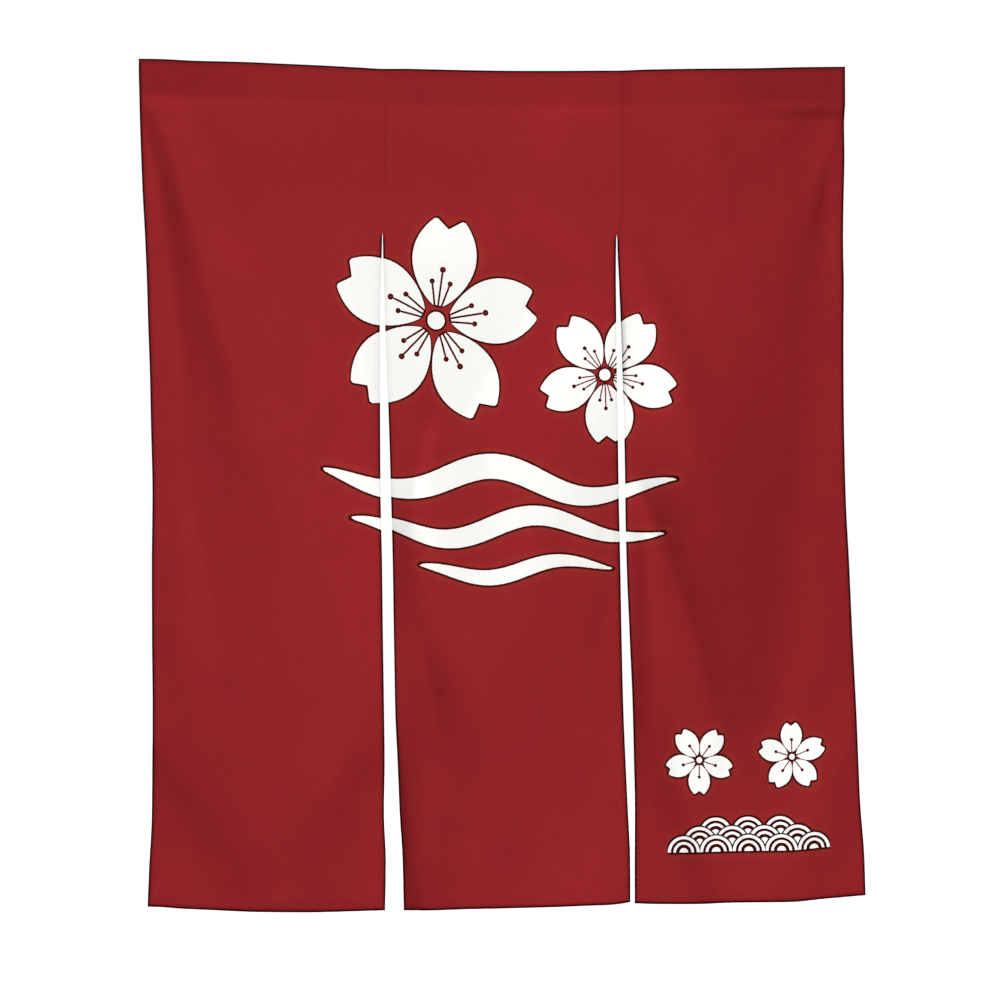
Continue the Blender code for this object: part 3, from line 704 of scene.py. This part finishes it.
def cloth_object(name, width_row, material):
    g = lay(*width_row)
    middle = np.stack([g["x"], g["y"], g["z"]], axis=2)
    normal = facing(middle)
    right_side = middle + normal * (CLOTH / 2)
    wrong_side = middle - normal * (CLOTH / 2 + hem_behind(g)[:, :, None])
    g["right_side"], g["wrong_side"], g["normal"] = right_side, wrong_side, normal
    rows, cols = g["x"].shape
    index = np.arange(rows * cols).reshape(rows, cols)
    other = index + rows * cols

    def strip(a, b):
        return np.stack([a[:-1], a[1:], b[1:], b[:-1]], axis=-1).reshape(-1, 4)

    faces = np.stack([index[:-1, :-1], index[1:, :-1], index[1:, 1:], index[:-1, 1:]], axis=-1).reshape(-1, 4)
    backs = np.stack([other[:-1, :-1], other[:-1, 1:], other[1:, 1:], other[1:, :-1]], axis=-1).reshape(-1, 4)
    quads = np.vstack([faces, backs,
                       strip(other[:, 0], index[:, 0]), strip(index[:, -1], other[:, -1]),
                       strip(index[0], other[0]), strip(other[-1], index[-1])])
    points = np.vstack([right_side.reshape(-1, 3), wrong_side.reshape(-1, 3)])
    obj = mesh_object(name, points, quads, material)
    mesh = obj.data

    # what the material reads: place on the flat cloth, pattern, painted shade of doubled layers, painted shade along
    # the edges
    drop_rows = g["rows"]
    path = np.where(g["front"][:, None], g["level"], np.where(drop_rows[:, 0][:, None] < 0.5, -g["level"], g["level"] - 2 * g["above"]))
    flat = np.stack([g["flat_x"], path, np.zeros_like(path)], axis=2).reshape(-1, 3)
    pattern = pattern_distance(g["flat_x"], path).reshape(-1)
    # painted shade: the sleeve is painted darker towards both its ends
    ends = 0.95 * ease((-0.30 - g["flat_x"]) / 0.14) + 1.60 * ease((g["flat_x"] - 0.28) / 0.12)
    in_sleeve = (0.95 + ends) * ease((FLAP_END + 0.0045 - g["below"]) / 0.0100)
    in_hem = 0.35 * ease((HEM_DEPTH + 0.0010 - g["above"]) / 0.0020)
    in_side = 0.0 * path
    for edge_name, away in ((g["lo"], g["s"]), (g["hi"], g["wide"] - g["s"])):
        felled = 0.70 * g["sewn"] if edge_name in SEAMS else 0.0
        in_side = np.maximum(in_side, 0.35 * ease((0.0088 - away[None, :]) / 0.0016) * (1.0 - felled))
    painted_layer_shade = np.maximum(np.maximum(in_sleeve, in_hem), in_side)
    # painted shade: a band beside the right seam is painted darker, standing for its doubled allowance
    if g["width"] == "right":       # this seam is felled wider, and its allowance lies doubled behind
        away = g["s"][None, :]
        allowance = 0.62 * ease((0.0115 - away) / 0.0060) + 0.30 * ease((0.0300 - away) / 0.0200)
        painted_layer_shade = painted_layer_shade + g["sewn"] * allowance * ease((away - 0.0010) / 0.0032)
    painted_layer_shade = painted_layer_shade.reshape(-1)
    # painted shade: a dark band along each edge of the cloth
    painted_edge_shade = np.zeros_like(path)
    for edge_name, away in ((g["lo"], g["s"]), (g["hi"], g["wide"] - g["s"])):
        painted_dark = PAINTED_EDGE_SHADE(away[None, :]) + 0.0 * path
        if edge_name in ("middle_left", "right_in"):        # the fold along this edge shades it already
            painted_dark = np.minimum(painted_dark, ease((0.0034 - away[None, :]) / 0.0016))
        if edge_name in SEAMS:
            painted_dark = painted_dark * (1.0 - g["sewn"])
        # painted shade: a soft dark line along the seam's row of stitches, beside its relief groove
        if edge_name in SEAMS and edge_name == g["lo"]:
            painted_dark = np.maximum(painted_dark, 0.105 * hollow(away[None, :] - SEAM_STITCH[g["width"]], 0.0019) * g["pull"])
        painted_edge_shade = np.maximum(painted_edge_shade, painted_dark)
    painted_edge_shade = np.maximum(painted_edge_shade, PAINTED_EDGE_SHADE(0.85 * g["below"]))
    painted_edge_shade = np.maximum(painted_edge_shade, PAINTED_EDGE_SHADE(g["above"]))
    top_fold = (drop_rows[:, 0] < 0.5) & (drop_rows[:, 1] < 0.0030) & (drop_rows[:, 2] < 0.0050)
    painted_edge_shade_right = (painted_edge_shade * np.where((g["front"] | top_fold)[:, None], 1.0, 0.45)).reshape(-1)
    painted_edge_shade_wrong = (painted_edge_shade * np.where(g["below"] < SLEEVE_DROP, 0.22, 0.45)).reshape(-1)     # weaker behind and inside the sleeve
    for label, kind, values, others in (("flat", "FLOAT_VECTOR", flat, flat), ("pattern", "FLOAT", pattern, pattern),
                                        ("painted_layer_shade", "FLOAT", painted_layer_shade, painted_layer_shade), ("painted_edge_shade", "FLOAT", painted_edge_shade_right, painted_edge_shade_wrong)):
        attribute = mesh.attributes.new(label, kind, "POINT")
        both = np.concatenate([values, others]).astype(np.float32)
        attribute.data.foreach_set("vector" if kind == "FLOAT_VECTOR" else "value", both.reshape(-1))

    # a flat layout of the sheet's two sides, for whoever needs a texture map
    steps = np.linalg.norm(np.diff(middle[:, cols // 2], axis=0), axis=1)
    v = np.concatenate([[0.0], np.cumsum(steps)])
    v = 0.99 - 0.98 * v / v[-1]
    u = g["s"] / g["wide"]
    uv_right = np.stack([0.01 + 0.475 * u[None, :] + 0 * v[:, None], v[:, None] + 0 * u[None, :]], axis=2).reshape(-1, 2)
    uv_wrong = np.stack([0.99 - 0.475 * u[None, :] + 0 * v[:, None], v[:, None] + 0 * u[None, :]], axis=2).reshape(-1, 2)
    both = np.vstack([uv_right, uv_wrong])
    corners = np.zeros(len(mesh.loops), np.int64)
    mesh.loops.foreach_get("vertex_index", corners)
    uvs = both[corners]
    first = len(faces) + len(backs)
    quad_loops = np.arange(4 * first, len(corners)).reshape(-1, 4)
    side_u = {0: (0.490, 0.494), 1: (0.496, 0.500), 2: None, 3: None}
    sizes = [rows - 1, rows - 1, cols - 1, cols - 1]
    at = 0
    for k, size in enumerate(sizes):
        loops = quad_loops[at:at + size]
        at += size
        for c in range(4):
            vert = corners[loops[:, c]]
            on_right = vert < rows * cols
            local = vert % (rows * cols)
            if k < 2:
                uvs[loops[:, c], 0] = np.where(on_right, side_u[k][0], side_u[k][1])
                uvs[loops[:, c], 1] = v[local // cols]
            else:
                uvs[loops[:, c], 0] = 0.01 + 0.475 * u[local % cols] + (0.505 if k == 3 else 0.0)
                uvs[loops[:, c], 1] = np.where(on_right, 0.004, 0.001)
    layer = mesh.uv_layers.new(name="OFBake")
    layer.data.foreach_set("uv", uvs.astype(np.float32).reshape(-1))

    mesh.set_sharp_from_angle(angle=math.radians(55))
    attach(obj, "root")
    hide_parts("panel_" + g["width"])
    return obj, g


# ---------------------------------------------------------------- sewing
def sample(g, side, s, level):
    """Places and normals on a width's front layer, at these distances across and levels."""
    rows = np.flatnonzero(g["front"])
    order = rows[np.argsort(g["level"][rows, 0])]
    levels = g["level"][order, 0]
    i = np.clip(np.searchsorted(levels, level) - 1, 0, len(levels) - 2)
    a = np.clip((level - levels[i]) / (levels[i + 1] - levels[i]), 0.0, 1.0)[:, None]
    j = np.clip(np.searchsorted(g["s"], s) - 1, 0, len(g["s"]) - 2)
    b = np.clip((s - g["s"][j]) / (g["s"][j + 1] - g["s"][j]), 0.0, 1.0)[:, None]
    result = []
    for grid in (g[side], g["normal"]):
        low = grid[order[i], j] * (1 - b) + grid[order[i], j + 1] * b
        high = grid[order[i + 1], j] * (1 - b) + grid[order[i + 1], j + 1] * b
        result.append(low * (1 - a) + high * a)
    return result


def stitches(at, normal, rng, long, wide_, out):
    """Small rounded stitches, one between each two neighbouring places."""
    a, b = at[:-1], at[1:]
    middle = (a + b) / 2
    along = b - a
    step = np.linalg.norm(along, axis=1, keepdims=True)
    along = along / step
    up = normal[:-1] + normal[1:]
    up /= np.linalg.norm(up, axis=1, keepdims=True)
    across = np.cross(along, up)
    tilt = rng.normal(0.0, 0.10, (len(a), 1))
    along, across = along * np.cos(tilt) + across * np.sin(tilt), across * np.cos(tilt) - along * np.sin(tilt)
    half = step * long / 2 * rng.uniform(0.90, 1.08, (len(a), 1))
    rings = []
    for t, size in ((-1.0, 0.0), (-0.62, 0.82), (0.0, 1.0), (0.62, 0.82), (1.0, 0.0)):
        centre = middle + along * half * t + up * (out * (0.75 * size - 0.45))
        if size == 0.0:
            rings.append(centre[:, None, :])
            continue
        ring = [centre + across * (wide_ / 2 * size * math.cos(2 * math.pi * k / 5))
                + up * (out * 0.62 * size * math.sin(2 * math.pi * k / 5)) for k in range(5)]
        rings.append(np.stack(ring, axis=1))
    return np.concatenate(rings, axis=1)      # (stitches, 1+5+5+5+1, 3)


def paleness(flat_x, level):
    """How far a stitch lies on the white pattern: 0 on the red ground, 1 inside it."""
    middle_x, middle_z = (flat_x[:-1] + flat_x[1:]) / 2, (level[:-1] + level[1:]) / 2
    inside = np.minimum(pattern_distance(middle_x, middle_z), motifs(Arrays(), middle_x, middle_z))
    return ease(-inside / 0.0012)


def stitching(grids, material):
    rng = np.random.default_rng(21)
    made, pale = [], []

    def sew(at, normal, flat_x, level, long=0.80, wide_=0.00050, out=0.00028):
        made.append(stitches(at, normal, rng, long, wide_, out))
        pale.append(paleness(flat_x, level))

    for g in grids:
        wide = g["wide"]
        across = np.linspace(0.0012, wide - 0.0012, int(round(wide / 0.0034)))
        for level in (-SLEEVE_DROP, -DROP + HEM_STITCH):
            levels = np.full(len(across), level)
            at, normal = sample(g, "right_side", across, levels)
            sew(at, normal, g["start"] + across, levels)
        for s, name in ((SIDE_STITCH, g["lo"]), (wide - SIDE_STITCH, g["hi"])):
            first = SLIT_TOP - 0.008 if name in SEAMS else -FLAP_END - 0.001
            down = np.linspace(first, -DROP + 0.0150, int(round((DROP + first - 0.015) / 0.0036)))
            for side, sign in (("right_side", 1.0), ("wrong_side", -1.0)):
                at, normal = sample(g, side, np.full(len(down), s), down)
                sew(at, normal * sign, g["start"] + s + 0.0 * down, down)
        if g["lo"] in SEAMS:        # the seam itself, down to the slit's top
            down = np.linspace(-FLAP_END - 0.001, SLIT_TOP + 0.002, int(round((-SLIT_TOP - FLAP_END) / 0.0030)))
            s = SEAM_STITCH[g["width"]]
            for side, sign in (("right_side", 1.0), ("wrong_side", -1.0)):
                at, normal = sample(g, side, np.full(len(down), s), down)
                sew(at, normal * sign, g["start"] + s + 0.0 * down, down, 0.78, 0.00040, 0.00020)
        # behind, the sleeve's and the hem's rows lie on the folded layer
        rows = g["rows"]
        flap = int(np.argmin(np.abs(rows[:12, 1] - SLEEVE_DROP)))
        hem = len(rows) - 1 - int(np.argmin(np.abs(-rows[::-1][:8, 1] - HEM_STITCH)))
        for pick, level in ((flap, -SLEEVE_DROP), (hem, -DROP + HEM_STITCH)):
            j = np.clip(np.searchsorted(g["s"], across) - 1, 0, len(g["s"]) - 2)
            b = ((across - g["s"][j]) / (g["s"][j + 1] - g["s"][j]))[:, None]
            at, normal = (g[key][pick][j] * (1 - b) + g[key][pick][j + 1] * b for key in ("right_side", "normal"))
            sew(at, normal, g["start"] + across, np.full(len(across), level))
    shape = np.concatenate(made)
    base = (np.arange(len(shape)) * 17)[:, None]
    ends, sides = [], []
    for k in range(5):
        m = (k + 1) % 5
        ends.append(base + np.array([[0, 1 + m, 1 + k]]))
        ends.append(base + np.array([[16, 11 + k, 11 + m]]))
        for r in (1, 6):
            sides.append(base + np.array([[r + k, r + m, r + 5 + m, r + 5 + k]]))
    polygons = np.vstack(ends).tolist() + np.vstack(sides).tolist()
    mesh = bpy.data.meshes.new("stitching")
    mesh.from_pydata(shape.reshape(-1, 3).tolist(), [], polygons)
    mesh.polygons.foreach_set("use_smooth", np.ones(len(mesh.polygons), bool))
    mesh.materials.append(material)
    mesh.update()
    attribute = mesh.attributes.new("pale", "FLOAT", "POINT")
    attribute.data.foreach_set("value", np.repeat(np.concatenate(pale), 17).astype(np.float32))
    obj = bpy.data.objects.new("stitching", mesh)
    bpy.context.scene.collection.objects.link(obj)
    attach(obj, "root")
    return obj


# ---------------------------------------------------------------- the object
cotton_material = cotton("noren_cotton")
grids = []
for row in WIDTHS:
    piece, grid = cloth_object("cloth_" + row[0], row, cotton_material)
    grids.append(grid)
stitching(grids, thread())

# ---------------------------------------------------------------- stage, light and camera
def add_stage():
    mesh = bpy.data.meshes.new("floor")
    r, rings, around = 12.0, 24, 64
    points = [(0.0, 0.0, 0.0)]
    for i in range(1, rings + 1):
        for k in range(around):
            a = 2 * math.pi * k / around
            points.append((r * i / rings * math.cos(a), r * i / rings * math.sin(a), 0.0))
    faces = [(0, 1 + k, 1 + (k + 1) % around) for k in range(around)]
    for i in range(1, rings):
        b, c = 1 + (i - 1) * around, 1 + i * around
        faces += [(b + k, c + k, c + (k + 1) % around, b + (k + 1) % around) for k in range(around)]
    mesh.from_pydata(points, [], faces)
    n = Nodes("floor_pale")
    n.shader.inputs["Base Color"].default_value = (0.90, 0.90, 0.90, 1.0)
    n.shader.inputs["Roughness"].default_value = 0.95
    n.shader.inputs["Specular IOR Level"].default_value = 0.1
    mesh.materials.append(n.material)
    floor = bpy.data.objects.new("floor", mesh)
    floor.location = (0.0, 0.0, -2.4)
    floor.visible_diffuse = False       # it doesn't tint the cloth from below
    bpy.context.scene.collection.objects.link(floor)


add_stage()

TOWARDS_LIGHT = Vector((-0.84, -0.40, 0.38)).normalized()
sun = bpy.data.lights.new("key", "SUN")
sun.energy = 5.70
sun.angle = math.radians(20.0)
sun_object = bpy.data.objects.new("key", sun)
sun_object.rotation_euler = TOWARDS_LIGHT.to_track_quat("Z", "Y").to_euler()
sun_object.location = TOWARDS_LIGHT * 4.0
bpy.context.scene.collection.objects.link(sun_object)

overhead = bpy.data.lights.new("overhead", "AREA")
overhead.energy = 8.4
overhead.shape = "RECTANGLE"
overhead.size, overhead.size_y = 1.8, 0.8
overhead_object = bpy.data.objects.new("overhead", overhead)
overhead_object.location = (0.0, -1.6, 1.2)
overhead_object.rotation_euler = Vector((0.0, -1.6, 1.5)).to_track_quat("Z", "Y").to_euler()
bpy.context.scene.collection.objects.link(overhead_object)

behind = bpy.data.lights.new("behind", "SUN")
behind.energy = 2.2
behind.angle = math.radians(40.0)
behind_object = bpy.data.objects.new("behind", behind)
behind_object.rotation_euler = Vector((0.45, 0.85, 0.35)).to_track_quat("Z", "Y").to_euler()
behind_object.location = (1.8, 3.4, 1.4)
bpy.context.scene.collection.objects.link(behind_object)

world = bpy.data.worlds.new("studio")
bpy.context.scene.world = world
world.use_nodes = True
tree = world.node_tree
tree.nodes.clear()
seen = tree.nodes.new("ShaderNodeBackground")
seen.inputs["Color"].default_value = (1.0, 1.0, 1.0, 1.0)
seen.inputs["Strength"].default_value = 1.02
soft = tree.nodes.new("ShaderNodeBackground")
soft.inputs["Color"].default_value = (1.0, 1.0, 1.0, 1.0)
soft.inputs["Strength"].default_value = 0.372
which = tree.nodes.new("ShaderNodeLightPath")
mix = tree.nodes.new("ShaderNodeMixShader")
out = tree.nodes.new("ShaderNodeOutputWorld")
tree.links.new(which.outputs["Is Camera Ray"], mix.inputs[0])
tree.links.new(soft.outputs[0], mix.inputs[1])
tree.links.new(seen.outputs[0], mix.inputs[2])
tree.links.new(mix.outputs[0], out.inputs["Surface"])

bpy.context.scene.view_settings.view_transform = "Standard"
bpy.context.scene.view_settings.look = "None"

camera = bpy.data.cameras.new("camera")
camera.lens = 85.0
camera.sensor_width = 36.0
camera.clip_end = 60.0
camera_object = bpy.data.objects.new("camera", camera)
camera_object.location = (-0.2449, -3.3346, -0.6080)
camera_object.rotation_euler = (math.radians(90.0), 0.0, math.radians(-4.3))
bpy.context.scene.collection.objects.link(camera_object)
bpy.context.scene.camera = camera_object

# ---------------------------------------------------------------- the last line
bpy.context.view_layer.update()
